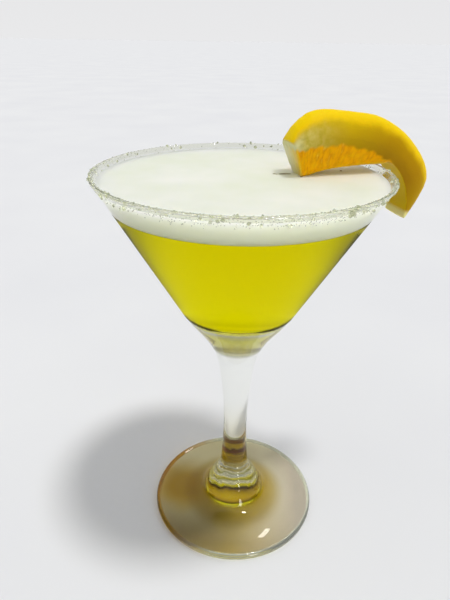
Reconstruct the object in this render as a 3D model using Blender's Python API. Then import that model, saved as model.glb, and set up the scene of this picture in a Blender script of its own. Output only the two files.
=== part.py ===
"""Martini glass with a yellow cocktail and its foam, sugar on the rim and a lemon wedge hung over it."""

import math
import random

import bmesh
import bpy
from mathutils import Vector

MM = 0.001
AROUND = 48

# Bowl: a straight cone with a rounded rim.
RIM_RADIUS = 56.0
RIM_HEIGHT = 166.9
WALL = 1.5
CONE_SLOPE = 0.5624
CONE_FOOT_HEIGHT = 115.5
RIM_ROUND_STEPS = 4

# Rounded floor inside the bowl, as (radius, height).
BOWL_FLOOR = [(24.2, 113.1), (21.3, 110.7), (15.8, 108.9), (8.5, 108.1)]

# Outside from the end of the cone down the stem, over the knob and out over the foot, as (radius, height).
STEM_SIDE = [
    (24.0, 110.0),
    (20.6, 105.0),
    (16.8, 100.0),
    (13.3, 95.0),
    (10.7, 90.0),
    (8.9, 85.0),
    (7.8, 80.0),
    (7.0, 74.0),
    (6.2, 67.0),
    (5.6, 58.0),
    (5.4, 48.0),
    (5.6, 40.0),
    (5.8, 34.5),
    (6.1, 30.0),
    (6.4, 26.3),
    (7.0, 22.8),
    (8.6, 19.6),
    (10.6, 16.4),
    (12.1, 13.2),
    (13.2, 10.2),
    (14.6, 7.8),
    (16.6, 6.2),
    (19.4, 5.0),
    (24.0, 3.9),
    (30.0, 3.2),
    (35.2, 3.0),
    (37.4, 3.4),
    (38.7, 2.8),
    (39.2, 1.7),
    (38.8, 0.6),
]
FOOT_UNDERSIDE_RADIUS = 37.8

# Contents, kept this far from the glass and from each other.
GAP = 0.3
DRINK_LEVEL = 156.0
FOAM_LEVEL = 164.4
DRINK_FLOOR_STEPS = 3
FOAM_EDGE_RADIUS = 0.5

# Sugar crystals on the rim, more of them the nearer to its top.
CRYSTALS = 84
CRYSTAL_SIZE = (0.55, 0.95)
CRYSTAL_OFFSET = 0.05
CRYSTAL_BAND = 4.2
CRYSTAL_CROWDING = 1.6
CRYSTAL_CORNER_JITTER = 0.18
CRYSTAL_FREE_ANGLE = 10.5
CRYSTAL_SEED = 31

# Lemon wedge: stands in a plane through the glass axis, rests on the rim and hangs its peel outside.
WEDGE_AZIMUTH = 18.0
WEDGE_HALF_WIDTH = 7.0
WEDGE_FOOT_HALF_WIDTH = 4.5
PEEL_ROUND_HALF_WIDTH = 7.2
WEDGE_LAYERS = 12
PEEL_SUBDIVISION = 2

# Stations of the wedge from its end over the foam to its hanging tip, as (distance, height): on the peel's
# outer line, on the line where the cut faces start, and on the lower edge.
WEDGE_STATIONS = [
    ((17.2, 177.6), (18.0, 174.4), (22.3, 163.2)),
    ((19.4, 182.2), (20.5, 174.6), (24.0, 163.9)),
    ((24.6, 186.6), (25.0, 175.2), (27.0, 164.9)),
    ((30.5, 187.8), (31.0, 175.8), (32.0, 166.0)),
    ((37.5, 187.3), (36.5, 175.9), (37.5, 166.7)),
    ((45.0, 186.4), (43.0, 174.8), (44.0, 167.1)),
    ((52.5, 185.3), (49.0, 173.0), (50.5, 167.3)),
    ((59.4, 182.6), (54.2, 170.9), (55.5, 167.25)),
    ((66.3, 178.5), (59.2, 167.7), (59.2, 167.7)),
    ((72.4, 173.0), (62.8, 164.2), (62.8, 164.2)),
    ((77.3, 167.0), (65.4, 160.4), (65.4, 160.4)),
    ((79.8, 160.4), (67.1, 156.4), (67.1, 156.4)),
    ((77.4, 153.9), (68.0, 152.4), (68.0, 152.4)),
    ((74.0, 148.7), (68.2, 149.0), (68.2, 149.0)),
    ((70.2, 144.0), (67.6, 145.8), (67.6, 145.8)),
]

# Pocket in the foam under the wedge's low end: how far along the wedge it reaches and its half width.
POCKET_REACH = (21.8, 26.4)
POCKET_HALF_WIDTH = 5.4
POCKET_FLOOR = 162.8

COLORS = {
    "glass": (0.92, 0.95, 0.92, 0.35),
    "drink": (0.62, 0.54, 0.01, 1.0),
    "foam": (0.86, 0.85, 0.74, 1.0),
    "lemon": (0.88, 0.62, 0.02, 1.0),
}


def clear_scene():
    for obj in list(bpy.data.objects):
        bpy.data.objects.remove(obj)


def material(name, roughness, transmission):
    made = bpy.data.materials.new(name)
    made.use_nodes = True
    shader = made.node_tree.nodes["Principled BSDF"]
    shader.inputs["Base Color"].default_value = COLORS[name]
    shader.inputs["Roughness"].default_value = roughness
    shader.inputs["Transmission Weight"].default_value = transmission
    return made


def object_from(mesh, name):
    bmesh.ops.recalc_face_normals(mesh, faces=mesh.faces)
    data = bpy.data.meshes.new(name)
    mesh.to_mesh(data)
    mesh.free()
    obj = bpy.data.objects.new(name, data)
    bpy.context.collection.objects.link(obj)
    return obj


def catmull_rom(before, start, end, after, t):
    return tuple(
        0.5 * (2 * b + (c - a) * t + (2 * a - 5 * b + 4 * c - d) * t * t + (3 * b - 3 * c + d - a) * t**3)
        for a, b, c, d in zip(before, start, end, after)
    )


def smoothed(points, subdivision):
    """The same line with points added on a curve between its points."""
    padded = [points[0], *points, points[-1]]
    line = []
    for i in range(len(points) - 1):
        for step in range(subdivision):
            line.append(catmull_rom(*padded[i : i + 4], step / subdivision))
    line.append(points[-1])
    return line


def outer_radius(height):
    return RIM_RADIUS - (RIM_HEIGHT - height) * CONE_SLOPE


def inner_radius(height):
    return outer_radius(height) - WALL


def turned(name, profile):
    """A solid of revolution. The profile is (radius, height) from the axis out and back to the axis."""
    mesh = bmesh.new()
    first = mesh.verts.new((0.0, 0.0, profile[0][1] * MM))
    last = mesh.verts.new((0.0, 0.0, profile[-1][1] * MM))
    rings = []
    for radius, height in profile[1:-1]:
        ring = []
        for step in range(AROUND):
            angle = math.tau * step / AROUND
            ring.append(
                mesh.verts.new((radius * math.cos(angle) * MM, radius * math.sin(angle) * MM, height * MM))
            )
        rings.append(ring)
    for step in range(AROUND):
        after = (step + 1) % AROUND
        mesh.faces.new((first, rings[0][step], rings[0][after]))
        mesh.faces.new((last, rings[-1][after], rings[-1][step]))
        for low, high in zip(rings, rings[1:]):
            mesh.faces.new((low[step], high[step], high[after], low[after]))
    return object_from(mesh, name)


def rim_round():
    """The rounded top of the wall, from the inside over to the outside."""
    half = WALL / 2
    middle = RIM_RADIUS - half
    points = []
    for step in range(RIM_ROUND_STEPS + 1):
        angle = math.pi * (1 - step / RIM_ROUND_STEPS)
        points.append((middle + half * math.cos(angle), RIM_HEIGHT - half + half * math.sin(angle)))
    return points


def glass_profile():
    floor = [(0.0, BOWL_FLOOR[-1][1]), *reversed(BOWL_FLOOR)]
    cone_inside = [(inner_radius(CONE_FOOT_HEIGHT), CONE_FOOT_HEIGHT)]
    foot = [(FOOT_UNDERSIDE_RADIUS, 0.0), (0.0, 0.0)]
    return floor + cone_inside + rim_round() + STEM_SIDE + foot


def crystal(random_source, angle, radius, height, size):
    """One rough cube of sugar, turned at random."""
    mesh = bmesh.new()
    bmesh.ops.create_cube(mesh, size=size * MM)
    for vertex in mesh.verts:
        for axis in range(3):
            vertex.co[axis] += random_source.uniform(-1, 1) * CRYSTAL_CORNER_JITTER * size * MM
    turn = Vector([random_source.uniform(-1, 1) for _ in range(3)]).normalized()
    swing = Vector((0.0, 0.0, 1.0)).rotation_difference(turn).to_matrix()
    place = Vector((radius * math.cos(angle), radius * math.sin(angle), height)) * MM
    for vertex in mesh.verts:
        vertex.co = swing @ vertex.co + place
    return object_from(mesh, "crystal")


def crystals():
    """Crystals over the top and the outside of the rim, none where the lemon crosses it."""
    random_source = random.Random(CRYSTAL_SEED)
    made = []
    while len(made) < CRYSTALS:
        angle = random_source.uniform(0, 360)
        off_lemon = abs((angle - WEDGE_AZIMUTH + 180) % 360 - 180)
        depth = CRYSTAL_BAND * random_source.random() ** CRYSTAL_CROWDING
        size = random_source.uniform(*CRYSTAL_SIZE)
        if off_lemon < CRYSTAL_FREE_ANGLE:
            continue
        height = RIM_HEIGHT - depth
        radius = outer_radius(height) + CRYSTAL_OFFSET
        if depth < WALL / 2:
            radius = RIM_RADIUS - WALL / 2
            height = RIM_HEIGHT + CRYSTAL_OFFSET / 2
        made.append(crystal(random_source, math.radians(angle), radius, height, size))
    return made


def joined(base, pieces):
    """The base and the pieces as one solid, with loose scraps dropped."""
    group = bpy.data.collections.new("pieces")
    bpy.context.scene.collection.children.link(group)
    for piece in pieces:
        bpy.context.collection.objects.unlink(piece)
        group.objects.link(piece)
    union = base.modifiers.new("Union", "BOOLEAN")
    union.operation = "UNION"
    union.operand_type = "COLLECTION"
    union.collection = group
    union.solver = "EXACT"
    apply_modifiers(base)
    for piece in pieces:
        bpy.data.objects.remove(piece)
    bpy.data.collections.remove(group)
    drop_scraps(base)


def apply_modifiers(obj):
    graph = bpy.context.evaluated_depsgraph_get()
    data = bpy.data.meshes.new_from_object(obj.evaluated_get(graph))
    obj.modifiers.clear()
    obj.data = data


def drop_scraps(obj):
    """Keeps the largest connected shell."""
    mesh = bmesh.new()
    mesh.from_mesh(obj.data)
    left = set(mesh.verts)
    shells = []
    while left:
        seed = left.pop()
        shell = {seed}
        edge = [seed]
        while edge:
            vertex = edge.pop()
            for link in vertex.link_edges:
                other = link.other_vert(vertex)
                if other not in shell:
                    shell.add(other)
                    left.discard(other)
                    edge.append(other)
        shells.append(shell)
    largest = max(shells, key=len)
    scraps = [vertex for shell in shells if shell is not largest for vertex in shell]
    bmesh.ops.delete(mesh, geom=scraps, context="VERTS")
    mesh.to_mesh(obj.data)
    mesh.free()


def make_glass():
    glass = turned("glass", glass_profile())
    joined(glass, crystals())
    return glass


def make_drink():
    """Fills the cone from its rounded floor to the foam."""
    top = DRINK_LEVEL - GAP / 2
    profile = [(0.0, BOWL_FLOOR[-1][1] + GAP)]
    for radius, height in reversed(BOWL_FLOOR):
        profile.append((radius - GAP / 2, height + GAP))
    for step in range(DRINK_FLOOR_STEPS):
        height = CONE_FOOT_HEIGHT + GAP / 2 + step * (top - CONE_FOOT_HEIGHT) / DRINK_FLOOR_STEPS
        profile.append((inner_radius(height) - GAP, height))
    profile += [(inner_radius(top) - GAP, top), (0.0, top)]
    return turned("drink", profile)


def make_foam():
    """A layer over the drink, with a pocket where the lemon stands in it."""
    low = DRINK_LEVEL + GAP / 2
    edge = FOAM_LEVEL - FOAM_EDGE_RADIUS
    profile = [
        (0.0, low),
        (inner_radius(low) - GAP, low),
        (inner_radius(edge) - GAP, edge),
        (inner_radius(FOAM_LEVEL) - GAP - FOAM_EDGE_RADIUS, FOAM_LEVEL),
        (0.0, FOAM_LEVEL),
    ]
    foam = turned("foam", profile)
    pocket = wedge_box("foam_pocket", POCKET_REACH, POCKET_HALF_WIDTH, (POCKET_FLOOR, RIM_HEIGHT))
    cut = foam.modifiers.new("Pocket", "BOOLEAN")
    cut.operation = "DIFFERENCE"
    cut.object = pocket
    cut.solver = "EXACT"
    apply_modifiers(foam)
    bpy.data.objects.remove(pocket)
    return foam


def in_wedge(distance, across, height):
    """A point of the wedge: distance out from the glass axis, across its middle plane, and height."""
    angle = math.radians(WEDGE_AZIMUTH)
    return Vector(
        (
            distance * math.cos(angle) - across * math.sin(angle),
            distance * math.sin(angle) + across * math.cos(angle),
            height,
        )
    ) * MM


def wedge_box(name, distances, half_width, heights):
    """A box lined up with the wedge."""
    mesh = bmesh.new()
    corners = []
    for height in heights:
        corners.append(
            [
                mesh.verts.new(in_wedge(distances[i], j * half_width, height))
                for i, j in ((0, -1), (1, -1), (1, 1), (0, 1))
            ]
        )
    low, high = corners
    mesh.faces.new(low)
    mesh.faces.new(high)
    for i in range(4):
        j = (i + 1) % 4
        mesh.faces.new((low[i], low[j], high[j], high[i]))
    return object_from(mesh, name)


def between(start, end, share):
    return tuple(a + (b - a) * share for a, b in zip(start, end))


def wedge_outline(across):
    """The wedge's outline as (distance, height) at one place across it: rounded peel, tapering flesh."""
    outer, base, lower = (
        smoothed([station[line] for station in WEDGE_STATIONS], PEEL_SUBDIVISION) for line in range(3)
    )
    bulge = math.sqrt(1 - (across / PEEL_ROUND_HALF_WIDTH) ** 2)
    taper = (abs(across) - WEDGE_FOOT_HALF_WIDTH) / (WEDGE_HALF_WIDTH - WEDGE_FOOT_HALF_WIDTH)
    lift = max(0.0, taper)
    outline = [between(base[i], outer[i], bulge) for i in range(len(outer))]
    outline += [between(lower[i], base[i], lift) for i in reversed(range(len(lower)))]
    return outline


def make_lemon():
    """Layers from one cut face of the wedge to the other."""
    mesh = bmesh.new()
    layers = []
    for layer in range(WEDGE_LAYERS + 1):
        angle = math.pi * (layer / WEDGE_LAYERS - 0.5)
        across = WEDGE_HALF_WIDTH * math.sin(angle)
        layers.append([mesh.verts.new(in_wedge(d, across, z)) for d, z in wedge_outline(across)])
    count = len(layers[0])
    for near, far in zip(layers, layers[1:]):
        for i in range(count):
            j = (i + 1) % count
            mesh.faces.new((near[i], near[j], far[j], far[i]))
    for side in (layers[0], layers[-1]):
        close_side(mesh, side)
    return object_from(mesh, "lemon")


def close_side(mesh, side):
    """Closes a cut face with a strip between its upper and its lower line."""
    half = len(side) // 2
    upper = side[:half]
    lower = side[: half - 1 : -1]
    for i in range(half - 1):
        mesh.faces.new((upper[i], upper[i + 1], lower[i + 1], lower[i]))


clear_scene()
for made, roughness, transmission in (
    (make_glass(), 0.05, 1.0),
    (make_drink(), 0.1, 0.6),
    (make_foam(), 0.6, 0.0),
    (make_lemon(), 0.4, 0.0),
):
    made.data.materials.clear()
    made.data.materials.append(material(made.name, roughness, transmission))
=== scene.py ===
import math
import random

import bpy
import numpy as np
from mathutils import Matrix, Vector
from mathutils.kdtree import KDTree


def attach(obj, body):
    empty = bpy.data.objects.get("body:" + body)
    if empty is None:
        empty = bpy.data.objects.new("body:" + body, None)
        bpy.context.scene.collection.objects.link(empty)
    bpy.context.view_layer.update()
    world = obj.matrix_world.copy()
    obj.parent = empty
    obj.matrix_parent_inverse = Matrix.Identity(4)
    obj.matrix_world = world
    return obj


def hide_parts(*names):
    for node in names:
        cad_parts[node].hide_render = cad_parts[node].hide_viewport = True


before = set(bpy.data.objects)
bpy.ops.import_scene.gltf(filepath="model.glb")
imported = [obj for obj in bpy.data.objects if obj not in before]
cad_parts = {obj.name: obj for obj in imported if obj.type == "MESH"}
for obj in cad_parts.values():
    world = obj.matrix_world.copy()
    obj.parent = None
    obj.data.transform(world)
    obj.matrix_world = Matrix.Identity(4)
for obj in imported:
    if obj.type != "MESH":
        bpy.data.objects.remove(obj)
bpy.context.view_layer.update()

mm = 0.001


def colour(hexValue):  # sRGB hex as picked, turned to linear light
    channels = [int(hexValue[i:i + 2], 16) / 255 for i in (1, 3, 5)]
    return tuple(c / 12.92 if c <= 0.04045 else ((c + 0.055) / 1.055) ** 2.4 for c in channels) + (1.0,)


def newMaterial(name):
    material = bpy.data.materials.new(name)
    material.use_nodes = True
    material.node_tree.nodes.clear()
    return material


def addNode(tree, kind, inputs=None, **settings):  # a node with its settings, values and links in one go
    node = tree.nodes.new("ShaderNode" + kind)
    for name, value in settings.items():
        setattr(node, name, value)
    for name, value in (inputs or {}).items():
        if isinstance(value, bpy.types.NodeSocket):
            tree.links.new(value, node.inputs[name])
        else:
            node.inputs[name].default_value = value
    return node


def fillRamp(ramp, stops):  # stops are (position, hex colour)
    while len(ramp.color_ramp.elements) < len(stops):
        ramp.color_ramp.elements.new(0.5)
    for element, (position, hexValue) in zip(ramp.color_ramp.elements, stops):
        element.position = position
        element.color = colour(hexValue)
    return ramp


def pickNothing():
    if bpy.context.object and bpy.context.object.mode != "OBJECT":
        bpy.ops.object.mode_set(mode="OBJECT")
    bpy.ops.object.select_all(action="DESELECT")


def pickOnly(piece):
    pickNothing()
    piece.select_set(True)
    bpy.context.view_layer.objects.active = piece


def startEditing(piece):
    pickOnly(piece)
    bpy.ops.object.mode_set(mode="EDIT")


def nameNewest(name):
    piece = bpy.context.object
    piece.name = name
    piece.data.name = name
    return piece


def placeInMesh(piece):
    pickOnly(piece)
    bpy.ops.object.transform_apply(location=True, rotation=True, scale=True)


def applyAll(piece):
    pickOnly(piece)
    for modifier in list(piece.modifiers):
        bpy.ops.object.modifier_apply(modifier=modifier.name)


def smoothLine(points, steps):  # the same line with a curve laid through its points
    padded = [points[0], *points, points[-1]]
    line = []
    for i in range(len(points) - 1):
        a, b, c, d = (Vector(p) for p in padded[i:i + 4])
        for step in range(steps):
            t = step / steps
            bend = (2 * a - 5 * b + 4 * c - d) * t * t + (3 * b - 3 * c + d - a) * t ** 3
            line.append(0.5 * (2 * b + (c - a) * t + bend))
    line.append(Vector(points[-1]))
    return [tuple(p) for p in line]


def turnOnAxis(name, profile, around):  # a ring is extruded and scaled up the profile, poles merged shut
    pickNothing()
    radius, height = profile[0]
    bpy.ops.mesh.primitive_circle_add(vertices=around, radius=radius * mm, location=(0, 0, height * mm))
    piece = nameNewest(name)
    placeInMesh(piece)
    startEditing(piece)
    bpy.ops.mesh.select_all(action="SELECT")
    for (radiusBefore, heightBefore), (radius, height) in zip(profile, profile[1:]):
        bpy.ops.mesh.extrude_region_move(TRANSFORM_OT_translate={"value": (0, 0, (height - heightBefore) * mm)})
        grow = radius / radiusBefore
        bpy.ops.transform.resize(value=(grow, grow, 1), center_override=(0, 0, height * mm))
    bpy.ops.mesh.extrude_region_move()
    bpy.ops.mesh.merge(type="CENTER")
    bpy.ops.object.mode_set(mode="OBJECT")
    closeLowEnd(piece, around)
    return piece


def closeLowEnd(piece, around):  # the ring that was added first
    pickNothing()
    for vertex in piece.data.vertices:
        vertex.select = vertex.index < around
    for edge in piece.data.edges:
        edge.select = all(i < around for i in edge.vertices)
    startEditing(piece)
    bpy.ops.mesh.select_mode(type="EDGE")
    bpy.ops.mesh.extrude_region_move()
    bpy.ops.mesh.merge(type="CENTER")
    bpy.ops.mesh.select_all(action="SELECT")
    bpy.ops.mesh.normals_make_consistent(inside=False)
    bpy.ops.object.mode_set(mode="OBJECT")


camera = {
    "place": (0.0, -0.1911, 0.2107),
    "turn": 1.71,             # degrees to the left
    "down": 27.18,            # degrees below level
    "roll": 0.88,
    "lens": 30.72,
}

bpy.ops.object.camera_add()
viewCamera = bpy.context.object
viewCamera.name = "viewCamera"
viewCamera.data.sensor_width = 36
viewCamera.data.lens = camera["lens"]
viewCamera.data.clip_start = 0.01
viewCamera.matrix_world = (
    Matrix.Translation(camera["place"])
    @ Matrix.Rotation(math.radians(camera["turn"]), 4, "Z")
    @ Matrix.Rotation(math.radians(90 - camera["down"]), 4, "X")
    @ Matrix.Rotation(math.radians(camera["roll"]), 4, "Z")
)
bpy.context.scene.camera = viewCamera
bpy.context.scene.view_settings.view_transform = "Standard"
print("camera placed")


glass = {
    "around": 96,
    "rimRadius": 56.0,        # mm
    "rimHeight": 166.9,
    "wall": 1.5,
    "slope": 0.5624,          # radius gained per mm of height
    "coneFoot": 115.5,        # height where the straight cone ends inside
    "rimSteps": 8,
    "wallSteps": (138.0, 156.0, 164.4),    # rings of points up the wall, two of them where drink and foam end
    "bowlFloor": [(8.5, 108.1), (15.8, 108.9), (21.3, 110.7), (24.2, 113.1)],
    "stem": [
        (24.0, 110.0), (20.6, 105.0), (16.8, 100.0), (13.3, 95.0), (10.7, 90.0), (8.9, 85.0), (7.8, 80.0),
        (7.0, 74.0), (6.2, 67.0), (5.6, 58.0), (5.4, 48.0), (5.6, 40.0), (5.8, 34.5), (6.1, 30.0),
        (6.4, 26.3), (7.0, 22.8), (8.6, 19.6), (10.6, 16.4), (12.1, 13.2), (13.2, 10.2), (14.6, 7.8),
        (16.6, 6.2), (19.4, 5.0), (24.0, 3.9), (30.0, 3.2), (35.2, 3.0), (37.4, 3.4), (38.7, 2.8),
        (39.2, 1.7), (38.8, 0.6),
    ],
    "underside": 37.8,
    "undersideRing": 6.0,     # width of the outermost faces under the foot
    "curveSteps": 3,
}


def coneRadius(height):
    return glass["rimRadius"] - (glass["rimHeight"] - height) * glass["slope"]


def insideRadius(height):
    return coneRadius(height) - glass["wall"]


def glassProfile():
    half = glass["wall"] / 2
    middle = glass["rimRadius"] - half
    lowInside = (insideRadius(glass["coneFoot"]), glass["coneFoot"])
    floor = smoothLine([*glass["bowlFloor"], lowInside], glass["curveSteps"])
    inside = [(insideRadius(z), z) for z in glass["wallSteps"]]
    rim = []
    for step in range(glass["rimSteps"] + 1):
        angle = math.pi * (1 - step / glass["rimSteps"])
        rim.append((middle + half * math.cos(angle), glass["rimHeight"] - half + half * math.sin(angle)))
    outside = [(coneRadius(z), z) for z in reversed(glass["wallSteps"])]
    outside.append((coneRadius(glass["coneFoot"]), glass["coneFoot"]))
    stem = smoothLine(glass["stem"], glass["curveSteps"])
    under = [(glass["underside"], 0.0), (glass["underside"] - glass["undersideRing"], 0.0)]
    return floor + inside + rim + outside + stem + under


glassBody = turnOnAxis("glassBody", glassProfile(), glass["around"])
bpy.ops.object.shade_smooth()
print("glass turned")


# Pressed and blown soda-lime glass, fire-polished, so it is smooth and mirrors softly. Its colour carries
# painted shade
# and painted refractions: the thick foot and knob are painted bronze, greyer to the right, and the thick base
# of the bowl carries a painted yellow glow of the drink above it. Lengths are in mm.
glassLook = {
    "ior": 1.5,
    "roughness": 0.01,
    "mirrorShares": (0.6, 0.1, 0.3),    # mirroring kept by bare glass, and where drink or foam wets it inside
    "wetHeights": (112.0, 155.0, 164.4),    # where the wall by the drink, by the foam and the bare rim start
    "wallMirror": 0.12,       # beside the drink only this much of it is left
    "colourTop": 120.0,
    "heights": [              # height up the glass, colour there: painted dark and amber bands of what knob and stem bend into view, painted grey shade and yellow drink glow in the bowl's base
        (5, "#d0bc40"), (9, "#e8cc00"), (13.0, "#c8a000"), (15.6, "#6c4c04"), (16.2, "#1c1004"),
        (16.9, "#1c1004"), (17.5, "#e2e6c8"), (19.3, "#e2e6c8"), (19.7, "#5c6440"), (20.1, "#e2e6c8"),
        (22.1, "#e2e6c8"), (22.5, "#5c6440"), (22.9, "#e2e6c8"), (24.7, "#eceeda"), (25.2, "#4c5434"),
        (25.7, "#eceeda"), (27, "#e8ead0"), (28.5, "#a88400"), (33.2, "#a07400"), (34.0, "#481c00"),
        (36.2, "#481c00"), (37.0, "#f0ecd4"), (60, "#fbfcf8"), (90, "#fbfcf8"), (92, "#a0a078"),
        (95, "#c4be84"), (97.5, "#fffaa0"), (105, "#fffc88"), (108, "#fcfdfa"),
    ],
    "heightsFrom": (4.0, 7.0),    # below this the foot has its own painted shade colours
    # painted shade of the foot: pale at the back, darker bronze in front, greyer to the right
    "footBack": "#f3eed2",
    "footFront": "#ac9e70",
    "footRight": "#b4aea4",
    "footEdge": 32.0,         # from the axis to where the foot has its painted side shades
    "rimStart": (37.2, 37.9),     # from the axis to the foot's raised rim
    # painted refractions on the foot's raised rim: amber on the left, grey-white on the right
    "rimLeft": "#c89404",
    "rimRight": "#d8dccc",
    "rimTurn": (-28.8, -9.6),     # across, where the rim's painted left colour gives way to its right one
    "rimClearness": 0.7,      # the pressed edge of the foot scatters the light that the rest lets through
    "shadow": "#f6f4ec",
    "ripple": 14.0,           # from one faint wave to the next
    "rippleDepth": 0.05,
    "ring": 2.6,              # between the pressed rings of the knob
    "ringDepth": 0.35,
    "ringHeights": (15.0, 16.8, 25.8, 28.2),    # fade in over two, out over two
    "bandTop": (38.0, 35.0),  # the painted bands of the knob and low stem end here
    "bandDip": (12.0, 3.5),   # how far to the side a band lies how much lower
    "swirl": 5.0,             # size of the swirls in the knob's painted bands
    "bandWander": 2.4,        # how far a swirl moves a band up or down
    "shadePatch": (-27.0, 3.0, 0.0),    # middle of a painted shade patch, browner, in the foot
    "shadePatchReach": (26.0, 10.0),    # from its middle to where it has gone and to where it starts to fade
    "shadePatchWander": 10.0,       # how far its edge wanders in and out
    "shadePatchWave": 16.667,       # size of a bay in that edge
    "shadePatchColour": "#d6bc58",
    "knobShade": (27.0, 18.0),     # from the axis, painted shade: the foot is painted warmer and darker close to the knob
    "knobShadeColour": "#e0d6b0",
    "film": "#ecede2",        # wet sugar film on the free rim
    "filmStart": (164.5, 165.0),
}


def spanOf(values):    # a pair in mm as the two From inputs of a MapRange node
    start, end = values
    return {"From Min": start * mm, "From Max": end * mm}


def glassSurface(name, mirrored, wetted=False, footed=False):
    material = newMaterial(name)
    tree = material.node_tree
    place = addNode(tree, "TexCoord").outputs["Object"]
    where = addNode(tree, "SeparateXYZ", {"Vector": place})

    # the painted refraction bands dip at the sides, as the thick knob bends what is seen through it
    sideways, dip = (value * mm for value in glassLook["bandDip"])
    low = addNode(tree, "MapRange", {"Value": where.outputs["Z"], **spanOf(glassLook["bandTop"])})
    squared = addNode(tree, "Math", {0: where.outputs["X"], 1: where.outputs["X"]}, operation="MULTIPLY")
    deeper = addNode(tree, "Math", {0: squared.outputs["Value"], 1: dip / sideways ** 2}, operation="MULTIPLY")
    clamped = addNode(tree, "Math", {0: deeper.outputs["Value"], 1: dip}, operation="MINIMUM")
    swirl = addNode(tree, "TexNoise", {"Vector": place, "Scale": 1000 / glassLook["swirl"],
                                       "Detail": 1.0, "Distortion": 0.5})
    wander = addNode(tree, "Math", {0: swirl.outputs["Fac"], 1: glassLook["bandWander"] * mm,
                                    2: clamped.outputs["Value"]}, operation="MULTIPLY_ADD")
    bandHeight = addNode(tree, "Math", {0: wander.outputs["Value"], 1: low.outputs["Result"],
                                        2: where.outputs["Z"]}, operation="MULTIPLY_ADD")
    share = addNode(tree, "MapRange", {"Value": bandHeight.outputs["Value"],
                                       "From Max": glassLook["colourTop"] * mm})
    # painted colour up the stem: dark and amber refraction bands, grey shade and the drink's yellow glow
    stem = addNode(tree, "ValToRGB", {"Fac": share.outputs["Result"]})
    fillRamp(stem, [(height / glassLook["colourTop"], value) for height, value in glassLook["heights"]])

    # painted shade on the foot, darker bronze to the front and greyer to the right
    edge = glassLook["footEdge"] * mm
    toFront = addNode(tree, "MapRange", {"Value": where.outputs["Y"], "From Min": 0.0, "From Max": -edge})
    toRight = addNode(tree, "MapRange", {"Value": where.outputs["X"], "From Max": edge})
    paintedFootShade = addNode(tree, "MixRGB", {"Fac": toFront.outputs["Result"], "Color1": colour(glassLook["footBack"]),
                                      "Color2": colour(glassLook["footFront"])})
    foot = addNode(tree, "MixRGB", {"Fac": toRight.outputs["Result"], "Color1": paintedFootShade.outputs["Color"],
                                    "Color2": colour(glassLook["footRight"])})
    flat = addNode(tree, "CombineXYZ", {"X": where.outputs["X"], "Y": where.outputs["Y"]})
    away = addNode(tree, "VectorMath", {0: flat.outputs["Vector"]}, operation="LENGTH")
    onRim = addNode(tree, "MapRange", {"Value": away.outputs["Value"], **spanOf(glassLook["rimStart"])})
    # painted refraction colours round the foot's rim
    rimSide = addNode(tree, "MapRange", {"Value": where.outputs["X"], **spanOf(glassLook["rimTurn"])})
    rim = addNode(tree, "MixRGB", {"Fac": rimSide.outputs["Result"], "Color1": colour(glassLook["rimLeft"]),
                                   "Color2": colour(glassLook["rimRight"])})
    # a browner painted shade patch on the left of the foot, under the bowl
    cloud = addNode(tree, "TexNoise", {"Vector": place, "Scale": 1000 / glassLook["shadePatchWave"], "Detail": 1.0})
    shadePatchMiddle = [value * mm for value in glassLook["shadePatch"]]
    fromShadePatch = addNode(tree, "VectorMath", {0: flat.outputs["Vector"], 1: shadePatchMiddle}, operation="DISTANCE")
    wandering = addNode(tree, "Math", {0: cloud.outputs["Fac"], 1: glassLook["shadePatchWander"] * mm,
                                       2: fromShadePatch.outputs["Value"]}, operation="MULTIPLY_ADD")
    inShadePatch = addNode(tree, "MapRange", {"Value": wandering.outputs["Value"], **spanOf(glassLook["shadePatchReach"])},
                     interpolation_type="SMOOTHSTEP")
    shadePatched = addNode(tree, "MixRGB", {"Fac": inShadePatch.outputs["Result"], "Color1": foot.outputs["Color"],
                                       "Color2": colour(glassLook["shadePatchColour"])})
    # painted shade, warm and darker, on the foot close to the knob
    inKnobShade = addNode(tree, "MapRange", {"Value": away.outputs["Value"], **spanOf(glassLook["knobShade"])},
                     interpolation_type="SMOOTHSTEP")
    knobShaded = addNode(tree, "MixRGB", {"Fac": inKnobShade.outputs["Result"], "Color1": shadePatched.outputs["Color"],
                                      "Color2": colour(glassLook["knobShadeColour"])}, blend_type="MULTIPLY")
    wholeFoot = addNode(tree, "MixRGB", {"Fac": onRim.outputs["Result"], "Color1": knobShaded.outputs["Color"],
                                         "Color2": rim.outputs["Color"]})
    onStem = addNode(tree, "MapRange", {"Value": where.outputs["Z"], **spanOf(glassLook["heightsFrom"])})
    plain = addNode(tree, "MixRGB", {"Fac": onStem.outputs["Result"], "Color1": wholeFoot.outputs["Color"],
                                     "Color2": stem.outputs["Color"]})
    onFree = addNode(tree, "MapRange", {"Value": where.outputs["Z"], **spanOf(glassLook["filmStart"])})
    # the glass tint, carrying the painted shade, refractions and glow, and the sugar film on the free rim
    tintAndPaintedShade = addNode(tree, "MixRGB", {"Fac": onFree.outputs["Result"], "Color1": plain.outputs["Color"],
                                    "Color2": colour(glassLook["film"])})

    waves = addNode(tree, "TexNoise", {"Vector": place, "Scale": 1000 / glassLook["ripple"], "Detail": 1.0})
    bump = addNode(tree, "Bump", {"Height": waves.outputs["Fac"], "Strength": 0.3,
                                  "Distance": glassLook["rippleDepth"] * mm})

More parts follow.
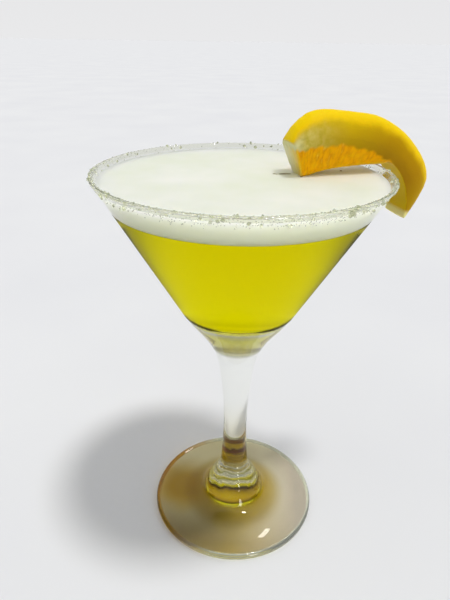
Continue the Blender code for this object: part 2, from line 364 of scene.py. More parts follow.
    # the wave node makes 20 radians a metre at scale 1, so 314 over the spacing in mm is one ring each
    upright = addNode(tree, "CombineXYZ", {"Z": bandHeight.outputs["Value"]})
    rings = addNode(tree, "TexWave", {"Vector": upright.outputs["Vector"], "Scale": 314 / glassLook["ring"],
                                      "Distortion": 0.4, "Detail": 0.0}, wave_type="BANDS", bands_direction="Z")
    onKnob = addNode(tree, "ValToRGB", {"Fac": share.outputs["Result"]})
    fillRamp(onKnob, [(height / glassLook["colourTop"], value) for height, value in
                      zip(glassLook["ringHeights"], ("#000000", "#ffffff", "#ffffff", "#000000"))])
    knobBump = addNode(tree, "Bump", {"Height": rings.outputs["Fac"], "Strength": onKnob.outputs["Color"],
                                      "Distance": glassLook["ringDepth"] * mm,
                                      "Normal": bump.outputs["Normal"]})
    clearness = 1.0
    if footed:
        footEdge = addNode(tree, "Math", {0: onRim.outputs["Result"], 1: onStem.outputs["Result"]},
                           operation="SUBTRACT", use_clamp=True)
        clearness = addNode(tree, "MapRange", {"Value": footEdge.outputs["Value"], "To Min": 1.0,
                                               "To Max": glassLook["rimClearness"]}).outputs["Result"]
    body = addNode(tree, "BsdfPrincipled", {
        "Base Color": tintAndPaintedShade.outputs["Color"],
        "Roughness": glassLook["roughness"],
        "IOR": glassLook["ior"],
        "Specular Tint": (mirrored, mirrored, mirrored, 1.0),
        "Transmission Weight": clearness,
        "Normal": knobBump.outputs["Normal"],
    })
    surface = body.outputs["BSDF"]
    if wetted:
        bending = addNode(tree, "BsdfRefraction", {"Color": tintAndPaintedShade.outputs["Color"], "IOR": glassLook["ior"],
                                                   "Roughness": glassLook["roughness"]})
        blend = addNode(tree, "MixShader", {0: glassLook["wallMirror"], 1: bending.outputs["BSDF"], 2: surface})
        surface = blend.outputs["Shader"]
    rays = addNode(tree, "LightPath")
    clear = addNode(tree, "BsdfTransparent", {"Color": colour(glassLook["shadow"])})
    mix = addNode(tree, "MixShader", {0: rays.outputs["Is Shadow Ray"], 1: surface, 2: clear.outputs["BSDF"]})
    addNode(tree, "OutputMaterial", {"Surface": mix.outputs["Shader"]})
    return material


# Where the wall is wet inside it mirrors next to nothing, because drink and glass bend light nearly alike.
bareShare, drinkShare, foamShare = glassLook["mirrorShares"]
glassBody.data.materials.append(glassSurface("sodaLimeGlass", bareShare, footed=True))
glassBody.data.materials.append(glassSurface("wettedGlass", drinkShare, wetted=True))
glassBody.data.materials.append(glassSurface("foamedGlass", foamShare))
drinkFrom, foamFrom, bareFrom = glassLook["wetHeights"]
for face in glassBody.data.polygons:
    height = face.center.z / mm
    if drinkFrom < height < foamFrom:
        face.material_index = 1
    elif foamFrom < height < bareFrom:
        face.material_index = 2
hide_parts("glass")
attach(glassBody, "root")


sugar = {
    "crystals": 84,
    "crystalSize": (0.55, 0.95),   # mm
    "offset": 0.05,                # mm that a crystal's middle stands off the glass
    "band": 4.2,                   # mm down from the top of the rim
    "crowding": 1.6,               # more of them towards the top
    "cornerJitter": 0.18,          # share of its size that a corner is moved
    "freeAngle": 10.5,             # degrees each side of the lemon
    "lemonAngle": 18.0,
    "seed": 31,
    "grains": 1500,
    "grainSize": (0.14, 0.3),
    "standOff": 0.2,               # share of its size that a grain's middle stands off the glass
    "insideBand": 0.3,             # mm of sugar down the inside of the rim
    "grainSeed": 7,
    "farShare": 0.1,               # how much of the sugar is left on the far side
    "lemonReach": 40.0,            # degrees from the lemon over which the sugar thins out
    "clump": (-53.0, 2.2, 40),     # degrees, half width in degrees and grains of a wet clump
    "clumpAlong": (-1.0, 1.8),     # mm up and down from the outer edge of the rim
    "clumpSize": (0.3, 0.55),
}


def cubeCorners():  # one crystal is a cube; its corners are moved for each copy
    pickNothing()
    bpy.ops.mesh.primitive_cube_add(size=1)
    cube = nameNewest("oneCrystal")
    corners = [v.co.copy() for v in cube.data.vertices]
    faces = [tuple(p.vertices) for p in cube.data.polygons]
    bpy.data.objects.remove(cube)
    return corners, faces


def crystalPoints(draw, corners, centre, size):
    moved = []
    for corner in corners:
        jitter = Vector([draw.uniform(-1, 1) * sugar["cornerJitter"] * size for _ in range(3)])
        moved.append(corner * size + jitter)
    turn = Vector([draw.uniform(-1, 1) for _ in range(3)]).normalized()
    swing = Vector((0.0, 0.0, 1.0)).rotation_difference(turn).to_matrix()
    return [(swing @ point + centre) * mm for point in moved]


def sugarPiece(name, lists, faces):
    points = [tuple(p) for shape in lists for p in shape]
    cornerCount = len(lists[0])
    allFaces = [tuple(i + cornerCount * n for i in face) for n in range(len(lists)) for face in faces]
    mesh = bpy.data.meshes.new(name)
    mesh.from_pydata(points, [], allFaces)
    piece = bpy.data.objects.new(name, mesh)
    bpy.context.collection.objects.link(piece)
    return piece


def offLemon(angle):
    return abs((angle - sugar["lemonAngle"] + 180) % 360 - 180)


def bigCrystals(corners):
    draw = random.Random(sugar["seed"])
    made = []
    while len(made) < sugar["crystals"]:
        angle = draw.uniform(0, 360)
        depth = sugar["band"] * draw.random() ** sugar["crowding"]
        size = draw.uniform(*sugar["crystalSize"])
        if offLemon(angle) < sugar["freeAngle"]:
            continue
        height = glass["rimHeight"] - depth
        radius = coneRadius(height) + sugar["offset"]
        if depth < glass["wall"] / 2:
            radius = glass["rimRadius"] - glass["wall"] / 2
            height = glass["rimHeight"] + sugar["offset"] / 2
        turn = math.radians(angle)
        centre = Vector((radius * math.cos(turn), radius * math.sin(turn), height))
        made.append(crystalPoints(draw, corners, centre, size))
    return made


def sugared(angle):    # share of grains kept: most at the front and beside the lemon
    front = (1 - math.sin(math.radians(angle))) / 2
    beside = max(0.0, 1 - offLemon(angle) / sugar["lemonReach"])
    return max(sugar["farShare"], front, beside)


def grainOnRim(draw, corners, angle, along, size):    # along runs from inside the rim, over its top and down
    over = math.pi * glass["wall"] / 2
    middle = glass["rimHeight"] - glass["wall"] / 2
    off = size * sugar["standOff"]
    if along < sugar["insideBand"]:
        height = middle - (sugar["insideBand"] - along)
        radius = insideRadius(height) - off
    elif along < sugar["insideBand"] + over:
        lean = math.pi * (1 - (along - sugar["insideBand"]) / over)
        bulge = glass["wall"] / 2 + off
        radius = glass["rimRadius"] - glass["wall"] / 2 + bulge * math.cos(lean)
        height = middle + bulge * math.sin(lean)
    else:
        height = middle - (along - sugar["insideBand"] - over)
        radius = coneRadius(height) + off
    turn = math.radians(angle)
    centre = Vector((radius * math.cos(turn), radius * math.sin(turn), height))
    return crystalPoints(draw, corners, centre, size)


def fineGrains(corners):
    draw = random.Random(sugar["grainSeed"])
    made = []
    over = sugar["insideBand"] + math.pi * glass["wall"] / 2
    while len(made) < sugar["grains"]:
        angle = draw.uniform(0, 360)
        along = draw.uniform(0, over + sugar["band"])
        size = draw.uniform(*sugar["grainSize"])
        down = max(0.0, (along - over) / sugar["band"])
        if draw.random() > sugared(angle) * (1 - down ** 2):
            continue
        if offLemon(angle) < sugar["freeAngle"] * 0.8 and down < 0.2:    # the peel's slit sits here
            continue
        made.append(grainOnRim(draw, corners, angle, along, size))
    middle, halfWidth, count = sugar["clump"]
    for _ in range(count):
        angle = draw.gauss(middle, halfWidth / 2)
        along = over + draw.uniform(*sugar["clumpAlong"])
        made.append(grainOnRim(draw, corners, angle, along, draw.uniform(*sugar["clumpSize"])))
    return made


corners, cubeFaces = cubeCorners()
sugarCrystals = sugarPiece("sugarCrystals", bigCrystals(corners), cubeFaces)
sugarGrains = sugarPiece("sugarGrains", fineGrains(corners), cubeFaces)
print("rim sugared")


# Granulated white sugar, wetted by the rim: nearly clear crystals that catch the light, milky in patches.
sugarLook = {
    "ior": 1.54,
    "roughness": 0.2,
    "clearness": 0.7,
    "patch": 1.1,             # mm
    "whites": [(0.3, "#ccd2b4"), (0.55, "#dfe3cc"), (0.75, "#f4f5ea")],
    "shadow": "#f8f8f0",
}

granulatedSugar = newMaterial("granulatedSugar")
tree = granulatedSugar.node_tree
place = addNode(tree, "TexCoord").outputs["Object"]
patches = addNode(tree, "TexNoise", {"Vector": place, "Scale": 1000 / sugarLook["patch"], "Detail": 2.0})
white = addNode(tree, "ValToRGB", {"Fac": patches.outputs["Fac"]})
fillRamp(white, sugarLook["whites"])
body = addNode(tree, "BsdfPrincipled", {
    "Base Color": white.outputs["Color"],
    "Roughness": sugarLook["roughness"],
    "IOR": sugarLook["ior"],
    "Transmission Weight": sugarLook["clearness"],
})
clear = addNode(tree, "BsdfTransparent", {"Color": colour(sugarLook["shadow"])})
rays = addNode(tree, "LightPath")
mix = addNode(tree, "MixShader", {0: rays.outputs["Is Shadow Ray"], 1: body.outputs["BSDF"],
                                  2: clear.outputs["BSDF"]})
addNode(tree, "OutputMaterial", {"Surface": mix.outputs["Shader"]})

for piece in (sugarCrystals, sugarGrains):
    piece.data.materials.append(granulatedSugar)
    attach(piece, "root")


drink = {
    "level": 156.0,           # mm, where the foam starts
    "reach": 0.2,             # mm into the wall, so that no air shows
    "around": 96,
    "wallSteps": (120.0, 138.0),    # rings of points up its side
    "topRing": 6.0,           # mm, width of the outermost faces of its flat top
}


def drinkProfile():
    reach = drink["reach"]
    low = [(r + reach, z - reach) for r, z in glass["bowlFloor"]]
    lowInside = (insideRadius(glass["coneFoot"]) + reach, glass["coneFoot"] - reach)
    line = smoothLine([*low, lowInside], glass["curveSteps"])
    line += [(insideRadius(z) + reach, z) for z in (*drink["wallSteps"], drink["level"])]
    line.append((insideRadius(drink["level"]) - drink["topRing"], drink["level"]))
    return line


drinkBody = turnOnAxis("drinkBody", drinkProfile(), drink["around"])
bpy.ops.object.shade_smooth_by_angle(angle=math.radians(35))
print("drink poured")


# Lemon sour mix: strained juice and syrup, clear enough to let light through, and it takes all the blue away.
drinkLook = {
    "ior": 1.34,
    "roughness": 0.16,
    "taken": (2.0, 3.4, 300.0),    # red, green and blue lost per metre of drink
    "span": (104.0, 156.0),        # mm, over which the tint of its surface changes
    "tints": [(0.0, "#fff700"), (0.5, "#fff900"), (1.0, "#fffb00")],
}

clearSourMix = newMaterial("clearSourMix")
tree = clearSourMix.node_tree
place = addNode(tree, "TexCoord").outputs["Object"]
height = addNode(tree, "SeparateXYZ", {"Vector": place})
share = addNode(tree, "MapRange", {"Value": height.outputs["Z"], **spanOf(drinkLook["span"])})
depthColour = addNode(tree, "ValToRGB", {"Fac": share.outputs["Result"]})
fillRamp(depthColour, drinkLook["tints"])
body = addNode(tree, "BsdfPrincipled", {
    "Base Color": depthColour.outputs["Color"],
    "Roughness": drinkLook["roughness"],
    "IOR": drinkLook["ior"],
    "Specular Tint": (0.0, 0.0, 0.0, 1.0),
    "Transmission Weight": 1.0,
})
most = max(drinkLook["taken"])
inside = addNode(tree, "VolumeAbsorption", {
    "Color": tuple(1 - part / most for part in drinkLook["taken"]) + (1.0,),
    "Density": most,
})
addNode(tree, "OutputMaterial", {"Surface": body.outputs["BSDF"], "Volume": inside.outputs["Volume"]})

drinkBody.data.materials.append(clearSourMix)
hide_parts("drink")
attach(drinkBody, "root")


foam = {
    "level": 164.4,           # mm
    "gap": 0.02,              # mm above the drink
    "reach": 0.15,            # mm into the wall
    "around": 96,
    "climb": 0.35,            # mm that the foam creeps up the wall
    "edge": ((0.3, 0.55), (0.7, 0.2), (1.3, 0.0)),    # mm from the wall, and share of the climb left there
    "rings": (50.0, 44.0, 38.0, 32.0, 26.0, 20.0, 14.0, 8.0, 3.0),    # mm, rings of points on its top
    "bottomRing": 6.0,        # mm, width of the outermost faces underneath
}


def foamProfile():
    low = drink["level"] + foam["gap"]
    top = foam["level"]
    wall = [(insideRadius(z) + foam["reach"], z) for z in (low, 160.0, top - 0.2, top + foam["climb"])]
    surface = [(insideRadius(top) - away, top + foam["climb"] * lift) for away, lift in foam["edge"]]
    flat = [(radius, top) for radius in foam["rings"]]
    return [(insideRadius(low) - foam["bottomRing"], low)] + wall + surface + flat


foamBody = turnOnAxis("foamBody", foamProfile(), foam["around"])
bpy.ops.object.shade_smooth_by_angle(angle=math.radians(50))
print("foam laid")


# Shaken egg-white foam: bubbles too small to see one by one, a soft matt cream-white with a few open bubbles.
foamLook = {
    "roughness": 0.6,
    "ior": 1.34,
    "soak": 12.0,             # mm that light travels in it
    "bubble": 0.7,            # mm
    "bubbleDepth": 0.1,       # mm
    "drift": 22.0,            # mm, size of the creamier and whiter patches
    "creams": [(0.3, "#e3e7d2"), (0.55, "#e9ebdc"), (0.75, "#efefe2")],
    "wall": "#ebefd8",        # against the glass, below its top: a greener cream, a painted glow of the drink's yellow light
    "wallFrom": (164.2, 163.0),    # mm
}

eggWhiteFoam = newMaterial("eggWhiteFoam")
tree = eggWhiteFoam.node_tree
place = addNode(tree, "TexCoord").outputs["Object"]
drift = addNode(tree, "TexNoise", {"Vector": place, "Scale": 1000 / foamLook["drift"], "Detail": 2.0})
cream = addNode(tree, "ValToRGB", {"Fac": drift.outputs["Fac"]})
fillRamp(cream, foamLook["creams"])
where = addNode(tree, "SeparateXYZ", {"Vector": place})
below = addNode(tree, "MapRange", {"Value": where.outputs["Z"], **spanOf(foamLook["wallFrom"])})
# painted glow of the drink's light in the foam against the glass
shown = addNode(tree, "MixRGB", {"Fac": below.outputs["Result"], "Color1": cream.outputs["Color"],
                                 "Color2": colour(foamLook["wall"])})
bubbles = addNode(tree, "TexVoronoi", {"Vector": place, "Scale": 1000 / foamLook["bubble"]})
bump = addNode(tree, "Bump", {"Height": bubbles.outputs["Distance"], "Strength": 0.15,
                              "Distance": foamLook["bubbleDepth"] * mm})
body = addNode(tree, "BsdfPrincipled", {
    "Base Color": shown.outputs["Color"],
    "Roughness": foamLook["roughness"],
    "IOR": foamLook["ior"],
    "Subsurface Weight": 0.9,
    "Subsurface Radius": (1.0, 0.95, 0.8),
    "Subsurface Scale": foamLook["soak"] * mm,
    "Normal": bump.outputs["Normal"],
})
addNode(tree, "OutputMaterial", {"Surface": body.outputs["BSDF"]})

foamBody.data.materials.append(eggWhiteFoam)
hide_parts("foam")
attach(foamBody, "root")


# The wedge stands in a plane through the glass axis. Its stations give (distance, height) in mm on the peel's
# outer line, on the line where the cut faces start, and on the lower edge.
lemon = {
    "grid": 0.36,             # mm, mesh size of the modelled wedge
    "azimuth": 18.0,
    "stations": [
        ((17.2, 177.6), (18.0, 174.4), (22.3, 163.2)), ((19.4, 182.2), (20.5, 174.6), (24.0, 163.9)),
        ((24.6, 186.6), (25.0, 175.2), (27.0, 164.9)), ((30.5, 187.8), (31.0, 175.8), (32.0, 166.0)),
        ((37.5, 187.3), (36.5, 175.9), (37.5, 166.7)), ((45.0, 186.4), (43.0, 174.8), (44.0, 167.1)),
        ((52.5, 185.3), (49.0, 173.0), (50.5, 167.3)), ((59.4, 182.6), (54.2, 170.9), (55.5, 167.25)),
        ((66.3, 178.5), (59.2, 167.7), (59.2, 167.7)), ((72.4, 173.0), (62.8, 164.2), (62.8, 164.2)),
        ((77.3, 167.0), (65.4, 160.4), (65.4, 160.4)), ((79.8, 160.4), (67.1, 156.4), (67.1, 156.4)),
        ((77.4, 153.9), (68.0, 152.4), (68.0, 152.4)), ((74.0, 148.7), (68.2, 149.0), (68.2, 149.0)),
        ((70.2, 144.0), (67.6, 145.8), (67.6, 145.8)),
    ],
    "fleshEnd": 58.5,         # mm from the axis, past it there is only peel
    "length": 110.0,          # mm along its peel
    "cellLength": 4.2,        # juice cells, mm
    "cellWidth": 1.25,
    "cellRelief": 0.3,
    "cells": 3600,
    "ragged": 0.6,            # mm that the upper edge of the flesh wanders
    "raggedWaves": (83, 37, 1.7),    # how quickly it does, twice along the wedge and once across it
    "seed": 4,
}


def lemonFromCad():
    pickNothing()
    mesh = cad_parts["lemon"].data.copy()
    piece = bpy.data.objects.new("lemonWedge", mesh)
    mesh.name = "lemonWedge"
    bpy.context.collection.objects.link(piece)
    mesh.materials.clear()
    startEditing(piece)
    bpy.ops.mesh.select_all(action="SELECT")
    bpy.ops.mesh.remove_doubles(threshold=0.00001)
    bpy.ops.object.mode_set(mode="OBJECT")
    remesh = piece.modifiers.new("fineGrid", "REMESH")
    remesh.mode = "VOXEL"
    remesh.voxel_size = lemon["grid"] * mm
    relax = piece.modifiers.new("relax", "SMOOTH")
    relax.iterations = 8
    relax.factor = 0.5
    applyAll(piece)
    bpy.ops.object.shade_smooth()
    return piece


def wedgePlaces(piece):    # distance out, across and height of each vertex, in mm
    co = np.zeros(len(piece.data.vertices) * 3)
    piece.data.vertices.foreach_get("co", co)
    x, y, z = (co.reshape(-1, 3) / mm).T
    turn = math.radians(lemon["azimuth"])
    out = x * math.cos(turn) + y * math.sin(turn)
    across = y * math.cos(turn) - x * math.sin(turn)
    return np.stack([out, across, z], axis=1)


def alongWedge(places):    # along the wedge from 0 to 1, up from the base line to the peel, down from it, in mm
    outer, base = (np.array(smoothLine([station[i] for station in lemon["stations"]], 12)) for i in (0, 1))
    flat = places[:, (0, 2)]
    best = np.full(len(flat), 1e9)
    along, up, down = np.zeros(len(flat)), np.zeros(len(flat)), np.zeros(len(flat))
    for i in range(len(base)):
        rise = outer[i] - base[i]
        high = np.linalg.norm(rise)
        rise /= high
        side = np.array([rise[1], -rise[0]])
        off = flat - base[i]
        away = np.abs(off @ side) + 0.05 * np.linalg.norm(off, axis=1)
        near = away < best
        best[near] = away[near]
        along[near] = i / (len(base) - 1)
        up[near] = (off @ rise)[near] / high
        down[near] = -(off @ rise)[near]
    return along, up, down


def keepNumbers(piece, name, values):
    layer = piece.data.attributes.new(name, "FLOAT", "POINT")
    layer.data.foreach_set("value", values.astype(np.float32))


def smoothStep(low, high, values):
    t = np.clip((values - low) / (high - low), 0, 1)
    return t * t * (3 - 2 * t)


def cellNumbers(along, down, across):    # 0 at the middle of a juice cell, 1 and more at its skin
    draw = np.random.default_rng(lemon["seed"])
    spread = np.array([lemon["length"] / lemon["cellWidth"], 1 / lemon["cellLength"], 1 / lemon["cellWidth"]])
    low = np.array([0.0, -1.0, -8.0]) * spread    # share along, mm down and mm across that hold all the flesh
    high = np.array([0.62, 12.0, 8.0]) * spread
    middles = draw.uniform(low, high, (lemon["cells"], 3))
    tree = KDTree(len(middles))
    for i, middle in enumerate(middles):
        tree.insert(middle, i)
    tree.balance()
    spots = np.stack([along, down, across], axis=1) * spread
    return np.array([tree.find(spot)[2] for spot in spots])


def pushOut(piece, amounts):    # each vertex along its normal, in mm
    co = np.zeros(len(piece.data.vertices) * 3)
    normals = np.zeros_like(co)
    piece.data.vertices.foreach_get("co", co)
    piece.data.vertices.foreach_get("normal", normals)
    piece.data.vertices.foreach_set("co", co + normals * np.repeat(amounts, 3) * mm)
    piece.data.update()


lemonWedge = lemonFromCad()
places = wedgePlaces(lemonWedge)
along, up, down = alongWedge(places)
distance, across, high = places.T
quick, slow, aside = lemon["raggedWaves"]
wander = lemon["ragged"] * np.sin(along * quick) * np.sin(along * slow + across * aside)
flesh = (smoothStep(-0.5, 0.8, down + wander)
         * smoothStep(lemon["fleshEnd"] + 1.5, lemon["fleshEnd"], distance))
cellSkin = cellNumbers(along, down, across)
pushOut(lemonWedge, flesh * lemon["cellRelief"] * (0.25 - np.clip(cellSkin, 0, 1) ** 2 * 0.75))

# the cut end over the foam, the under edge of the flesh, and the inner side of the hanging peel
endDistances, endHeights = zip(*reversed(lemon["stations"][0]))
cutEnd = smoothStep(0.9, 0.35, distance - np.interp(high, endHeights, endDistances))
lowDistances, lowHeights = zip(*(station[2] for station in lemon["stations"][:9:2]))
underEdge = smoothStep(1.6, 0.2, high - np.interp(distance, lowDistances, lowHeights))
normals = np.zeros(len(places) * 3)
lemonWedge.data.vertices.foreach_get("normal", normals)
turn = math.radians(lemon["azimuth"])
sideways = np.abs(normals.reshape(-1, 3) @ np.array([-math.sin(turn), math.cos(turn), 0.0]))
innerSide = smoothStep(0.16, 0.05, up) * smoothStep(58.0, 60.0, distance) * smoothStep(0.75, 0.45, sideways)
for name, values in (("along", along), ("up", up), ("across", across), ("flesh", flesh), ("cellSkin", cellSkin),
                     ("cutEnd", cutEnd), ("underEdge", underEdge), ("innerSide", innerSide)):
    keepNumbers(lemonWedge, name, values)
print("lemon cut,", len(lemonWedge.data.vertices), "points")


# Ripe lemon: waxy zest with oil pores, painted light along its crest and painted shade on its flanks, pale pith
# at its ends, and orange-yellow flesh in wet juice cells.
lemonLook = {
    # zest from the base line to the crest: painted shade low on the flanks, painted light on the crest
    "zestLitAndShaded": [(0.0, "#c09c00"), (0.3, "#c8a400"), (0.62, "#d8b400"), (0.8, "#fad000"), (1.0, "#ffd800")],
    "paintedFlankShade": [(0.3, "#ffffff"), (0.5, "#e4d4b8"), (0.72, "#e2ccac"), (0.9, "#f6eedc")],    # painted shade on the flanks, along the wedge
    # inner side of the hanging peel, painted lighter to make up for the shade it lies in
    "innerSide": "#dcb800",
    "pith": [(0.3, "#b6a638"), (0.5, "#ccba52"), (0.72, "#d8c86c")],
    "lastPith": "#e2e2b8",    # right at the cut end
    # pith of the hanging tip, painted brighter to make up for the shade under it
    "tipPithLightened": "#fff0a0",
    "cell": [(0.0, "#ffbe00"), (0.4, "#fab200"), (0.7, "#e89c00"), (1.0, "#ffd040")],    # middle to skin
    "yellowCell": "#f8c400",
    # under edge of the flesh: a painted glow of light coming through it
    "underEdge": "#fcc818",
    "cutEnd": [(0.0, "#e8c038"), (0.4, "#e2d080"), (1.0, "#e2dcb0")],    # near side to far side
    "softSpot": 6.25,         # mm, size of the unevenness in the zest's painted crest light and flank shade
    "fleck": 1.923,           # mm, in the pith
    "blotch": 3.846,          # mm, yellower cells
    "pore": 0.9,              # mm
    "poreDepth": 0.12,        # mm
    "zestRoughness": 0.5,
    "fleshRoughness": 0.3,
    "ior": 1.4,
    "gloss": 0.08,            # a dull wax, far under the usual 0.5
    "soak": 2.0,              # mm that light travels in it
}

ripeLemon = newMaterial("ripeLemon")
tree = ripeLemon.node_tree
kept = {layer.name: addNode(tree, "Attribute", attribute_name=layer.name).outputs["Fac"]
        for layer in lemonWedge.data.attributes if layer.data_type == "FLOAT"}
place = addNode(tree, "TexCoord").outputs["Object"]
soft = addNode(tree, "TexNoise", {"Vector": place, "Scale": 1000 / lemonLook["softSpot"], "Detail": 3.0})
wobble = addNode(tree, "Math", {0: soft.outputs["Fac"], 1: 0.24, 2: -0.12}, operation="MULTIPLY_ADD")
crest = addNode(tree, "Math", {0: kept["up"], 1: wobble.outputs["Value"]}, operation="ADD")
# zest with painted light on the crest and painted shade down the flanks
zestLitAndShaded = addNode(tree, "ValToRGB", {"Fac": crest.outputs["Value"]})
fillRamp(zestLitAndShaded, lemonLook["zestLitAndShaded"])
shade = addNode(tree, "ValToRGB", {"Fac": kept["along"]})
fillRamp(shade, lemonLook["paintedFlankShade"])
crestOnly = addNode(tree, "MapRange", {"Value": crest.outputs["Value"], "From Min": 0.6, "From Max": 0.85,
                                       "To Min": 1.0, "To Max": 0.0})
paintedFlankShade = addNode(tree, "MixRGB", {"Fac": crestOnly.outputs["Result"], "Color1": zestLitAndShaded.outputs["Color"],
                                 "Color2": shade.outputs["Color"]}, blend_type="MULTIPLY")
# the inner side of the hanging peel painted lighter against its shade
peel = addNode(tree, "MixRGB", {"Fac": kept["innerSide"], "Color1": paintedFlankShade.outputs["Color"],
                                "Color2": colour(lemonLook["innerSide"])})

# pith shows on the flanks near the low end and on the tip that hangs outside; the tip's pith is painted
# brighter against its shade
nearEnd = addNode(tree, "MapRange", {"Value": kept["along"], "From Min": 0.33, "From Max": 0.05},
                  interpolation_type="SMOOTHSTEP")
underCrest = addNode(tree, "MapRange", {"Value": crest.outputs["Value"], "From Min": 0.84, "From Max": 0.44},
                     interpolation_type="SMOOTHSTEP")
endPith = addNode(tree, "Math", {0: nearEnd.outputs["Result"], 1: underCrest.outputs["Result"]},
                  operation="MULTIPLY")
fleck = addNode(tree, "TexNoise", {"Vector": place, "Scale": 1000 / lemonLook["fleck"], "Detail": 3.0})
pith = addNode(tree, "ValToRGB", {"Fac": fleck.outputs["Fac"]})
fillRamp(pith, lemonLook["pith"])
lastBit = addNode(tree, "MapRange", {"Value": kept["along"], "From Min": 0.1, "From Max": 0.0, "To Max": 0.7})
palePith = addNode(tree, "MixRGB", {"Fac": lastBit.outputs["Result"], "Color1": pith.outputs["Color"],
                                    "Color2": colour(lemonLook["lastPith"])})
endRind = addNode(tree, "MixRGB", {"Fac": endPith.outputs["Value"], "Color1": peel.outputs["Color"],
                                   "Color2": palePith.outputs["Color"]})
atTip = addNode(tree, "MapRange", {"Value": kept["along"], "From Min": 0.925, "From Max": 0.965},
                interpolation_type="SMOOTHSTEP")
tipUnder = addNode(tree, "MapRange", {"Value": kept["up"], "From Min": 0.85, "From Max": 0.6})
tipPithLightened = addNode(tree, "Math", {0: atTip.outputs["Result"], 1: tipUnder.outputs["Result"]},
                  operation="MULTIPLY")
rind = addNode(tree, "MixRGB", {"Fac": tipPithLightened.outputs["Value"], "Color1": endRind.outputs["Color"],
                                "Color2": colour(lemonLook["tipPithLightened"])})

# juice cells run down from the peel, paler at their skins; along the under edge a painted glow of light coming
# through the thin flesh
streak = addNode(tree, "ValToRGB", {"Fac": kept["cellSkin"]})
fillRamp(streak, lemonLook["cell"])
blotch = addNode(tree, "TexNoise", {"Vector": place, "Scale": 1000 / lemonLook["blotch"], "Detail": 2.0})
yellower = addNode(tree, "MapRange", {"Value": blotch.outputs["Fac"], "From Min": 0.5, "From Max": 0.8,
                                      "To Max": 0.7})
juicy = addNode(tree, "MixRGB", {"Fac": yellower.outputs["Result"], "Color1": streak.outputs["Color"],
                                 "Color2": colour(lemonLook["yellowCell"])})
# painted glow of light along the under edge of the flesh
edged = addNode(tree, "MixRGB", {"Fac": kept["underEdge"], "Color1": juicy.outputs["Color"],
                                 "Color2": colour(lemonLook["underEdge"])})
acrossEnd = addNode(tree, "MapRange", {"Value": kept["across"], "From Min": -5.0, "From Max": 4.0})
endSkin = addNode(tree, "ValToRGB", {"Fac": acrossEnd.outputs["Result"]})
fillRamp(endSkin, lemonLook["cutEnd"])
cutFlesh = addNode(tree, "MixRGB", {"Fac": kept["cutEnd"], "Color1": edged.outputs["Color"],
                                    "Color2": endSkin.outputs["Color"]})
whole = addNode(tree, "MixRGB", {"Fac": kept["flesh"], "Color1": rind.outputs["Color"],
                                 "Color2": cutFlesh.outputs["Color"]})
pores = addNode(tree, "TexVoronoi", {"Vector": place, "Scale": 1000 / lemonLook["pore"]})
poreBump = addNode(tree, "Bump", {"Height": pores.outputs["Distance"], "Strength": 0.5,
                                  "Distance": lemonLook["poreDepth"] * mm})
wet = addNode(tree, "MapRange", {"Value": kept["flesh"], "To Min": lemonLook["zestRoughness"],
                                 "To Max": lemonLook["fleshRoughness"]})
body = addNode(tree, "BsdfPrincipled", {
    "Base Color": whole.outputs["Color"],
    "Roughness": wet.outputs["Result"],
    "IOR": lemonLook["ior"],
    "Specular IOR Level": lemonLook["gloss"],
    "Subsurface Weight": 0.25,
    "Subsurface Radius": (1.0, 0.7, 0.1),
    "Subsurface Scale": lemonLook["soak"] * mm,
    "Normal": poreBump.outputs["Normal"],
})
addNode(tree, "OutputMaterial", {"Surface": body.outputs["BSDF"]})

lemonWedge.data.materials.append(ripeLemon)
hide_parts("lemon")
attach(lemonWedge, "root")


# Dark shreds on the foam at the lemon's low end and under it, a painted contact shadow of the lemon shaped as
# shreds of pulp, as (x, y, half length, half width, turn in degrees), in mm
shadowShreds = {
    "lift": 0.05,
    "halfHeight": 0.22,
    # these sit where the lemon's contact shadow falls on the foam
    "shreds": [(16.3, 5.9, 2.6, 0.35, 6), (38.8, 13.1, 0.5, 0.4, 0), (22.1, 1.8, 0.55, 0.3, 25),
               (12.6, 5.4, 1.1, 0.2, -10)],
    # olive-brown colours of the painted contact shadow
    "browns": [(0.35, "#6a5c28"), (0.55, "#8c7a3c"), (0.7, "#b0a060")],
    "grain": 0.714,           # size of a darker or paler spot
}


def makeShadowShreds():
    pickNothing()
    shreds = []
    for x, y, halfLength, halfWidth, turn in shadowShreds["shreds"]:
        bpy.ops.mesh.primitive_uv_sphere_add(segments=16, ring_count=8, radius=1 * mm)
        shred = bpy.context.object
        shred.scale = (halfLength, halfWidth, shadowShreds["halfHeight"])
        shred.rotation_euler = (0, 0, math.radians(turn))
        shred.location = (x * mm, y * mm, (foam["level"] + shadowShreds["lift"]) * mm)
        shreds.append(shred)
    for shred in shreds:
        shred.select_set(True)
    bpy.context.view_layer.objects.active = shreds[0]
    bpy.ops.object.join()
    piece = nameNewest("shadowShredsPiece")
    placeInMesh(piece)
    bpy.ops.object.shade_smooth()
    return piece


shadowShredsPiece = makeShadowShreds()
shadowPulp = newMaterial("shadowPulp")    # olive-brown and a little glossy, a painted contact shadow shaped as soaked pulp
tree = shadowPulp.node_tree
place = addNode(tree, "TexCoord").outputs["Object"]
grain = addNode(tree, "TexNoise", {"Vector": place, "Scale": 1000 / shadowShreds["grain"], "Detail": 2.0})
brown = addNode(tree, "ValToRGB", {"Fac": grain.outputs["Fac"]})
fillRamp(brown, shadowShreds["browns"])
body = addNode(tree, "BsdfPrincipled", {"Base Color": brown.outputs["Color"], "Roughness": 0.35, "IOR": 1.36})
addNode(tree, "OutputMaterial", {"Surface": body.outputs["BSDF"]})
shadowShredsPiece.data.materials.append(shadowPulp)
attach(shadowShredsPiece, "root")
print("pulp floated")


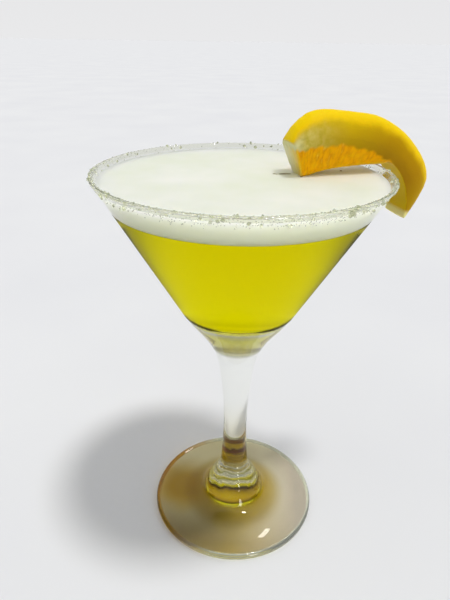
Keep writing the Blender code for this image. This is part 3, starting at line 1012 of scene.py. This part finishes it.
studio = {
    "floorSize": 60.0,             # metres
    "floorPaint": [(0.3, "#e5e5e6"), (0.7, "#e9e9e9")],
    "floorMottle": 166.67,         # mm
    "boxes": [                     # soft boxes that only show as a gloss: name, watts, size, place, in metres
        ("boxBehind", 0.14, (0.07, 0.035), (0.15, 0.56, 0.96)),
        ("boxInFront", 5.0, (0.16, 0.75), (0.42, -0.84, 0.38)),
    ],
    "sunPower": 1.5,
    "sunWidth": 9.0,               # degrees across, so that shadows are soft
    "sunFrom": (35, -12, 155),     # the direction it stands in
    "cards": (0.88, 0.95, 0.12),   # dark cards to the left and right: where they start and end, and how pale
    "sky": [(0.0, "#e9e9ea"), (0.13, "#e6e6e8"), (0.3, "#a6a6aa"), (0.5, "#c6c8ca"), (1.0, "#cccdd0")],
}


def makeFloor():
    pickNothing()
    bpy.ops.mesh.primitive_plane_add(size=studio["floorSize"])
    return nameNewest("paleFloor")


paleFloor = makeFloor()
floorPaint = newMaterial("floorPaint")    # matt painted board
tree = floorPaint.node_tree
place = addNode(tree, "TexCoord").outputs["Object"]
mottle = addNode(tree, "TexNoise", {"Vector": place, "Scale": 1000 / studio["floorMottle"], "Detail": 2.0})
paint = addNode(tree, "ValToRGB", {"Fac": mottle.outputs["Fac"]})
fillRamp(paint, studio["floorPaint"])
body = addNode(tree, "BsdfPrincipled", {"Base Color": paint.outputs["Color"], "Roughness": 0.7,
                                        "Specular IOR Level": 0.0})
addNode(tree, "OutputMaterial", {"Surface": body.outputs["BSDF"]})
paleFloor.data.materials.append(floorPaint)


def makeSky():    # pale at the horizon, a greyer band above it, light overhead
    world = bpy.data.worlds.new("softSky")
    world.use_nodes = True
    tree = world.node_tree
    tree.nodes.clear()
    place = addNode(tree, "TexCoord")
    height = addNode(tree, "SeparateXYZ", {"Vector": place.outputs["Generated"]})
    light = fillRamp(addNode(tree, "ValToRGB", {"Fac": height.outputs["Z"]}), studio["sky"])
    aside = addNode(tree, "Math", {0: height.outputs["X"]}, operation="ABSOLUTE")
    start, end, pale = studio["cards"]
    lit = addNode(tree, "MapRange", {"Value": aside.outputs["Value"], "From Min": start, "From Max": end,
                                     "To Min": 1.0, "To Max": pale}, interpolation_type="SMOOTHSTEP")
    rays = addNode(tree, "LightPath")    # the cards only show in the glass, the backdrop itself stays pale
    strength = addNode(tree, "Math", {0: lit.outputs["Result"], 1: rays.outputs["Is Camera Ray"]},
                       operation="MAXIMUM")
    back = addNode(tree, "Background", {"Color": light.outputs["Color"], "Strength": strength.outputs["Value"]})
    addNode(tree, "OutputWorld", {"Surface": back.outputs["Background"]})
    bpy.context.scene.world = world


def addSun():
    pickNothing()
    bpy.ops.object.light_add(type="SUN", location=(0.4, 0, 1))
    sun = bpy.context.object
    sun.name = "softSun"
    sun.data.energy = studio["sunPower"]
    sun.data.angle = math.radians(studio["sunWidth"])
    sun.rotation_euler = (-Vector(studio["sunFrom"])).to_track_quat("-Z", "Y").to_euler()


def addBoxes():
    for name, watts, size, place in studio["boxes"]:
        pickNothing()
        bpy.ops.object.light_add(type="AREA", location=place)
        box = bpy.context.object
        box.name = name
        box.data.shape = "RECTANGLE"
        box.data.size, box.data.size_y = size
        box.data.energy = watts
        box.rotation_euler = (-Vector(place)).to_track_quat("-Z", "Y").to_euler()
        box.visible_diffuse = False
        box.visible_transmission = False


makeSky()
addSun()
addBoxes()
print("studio lit")
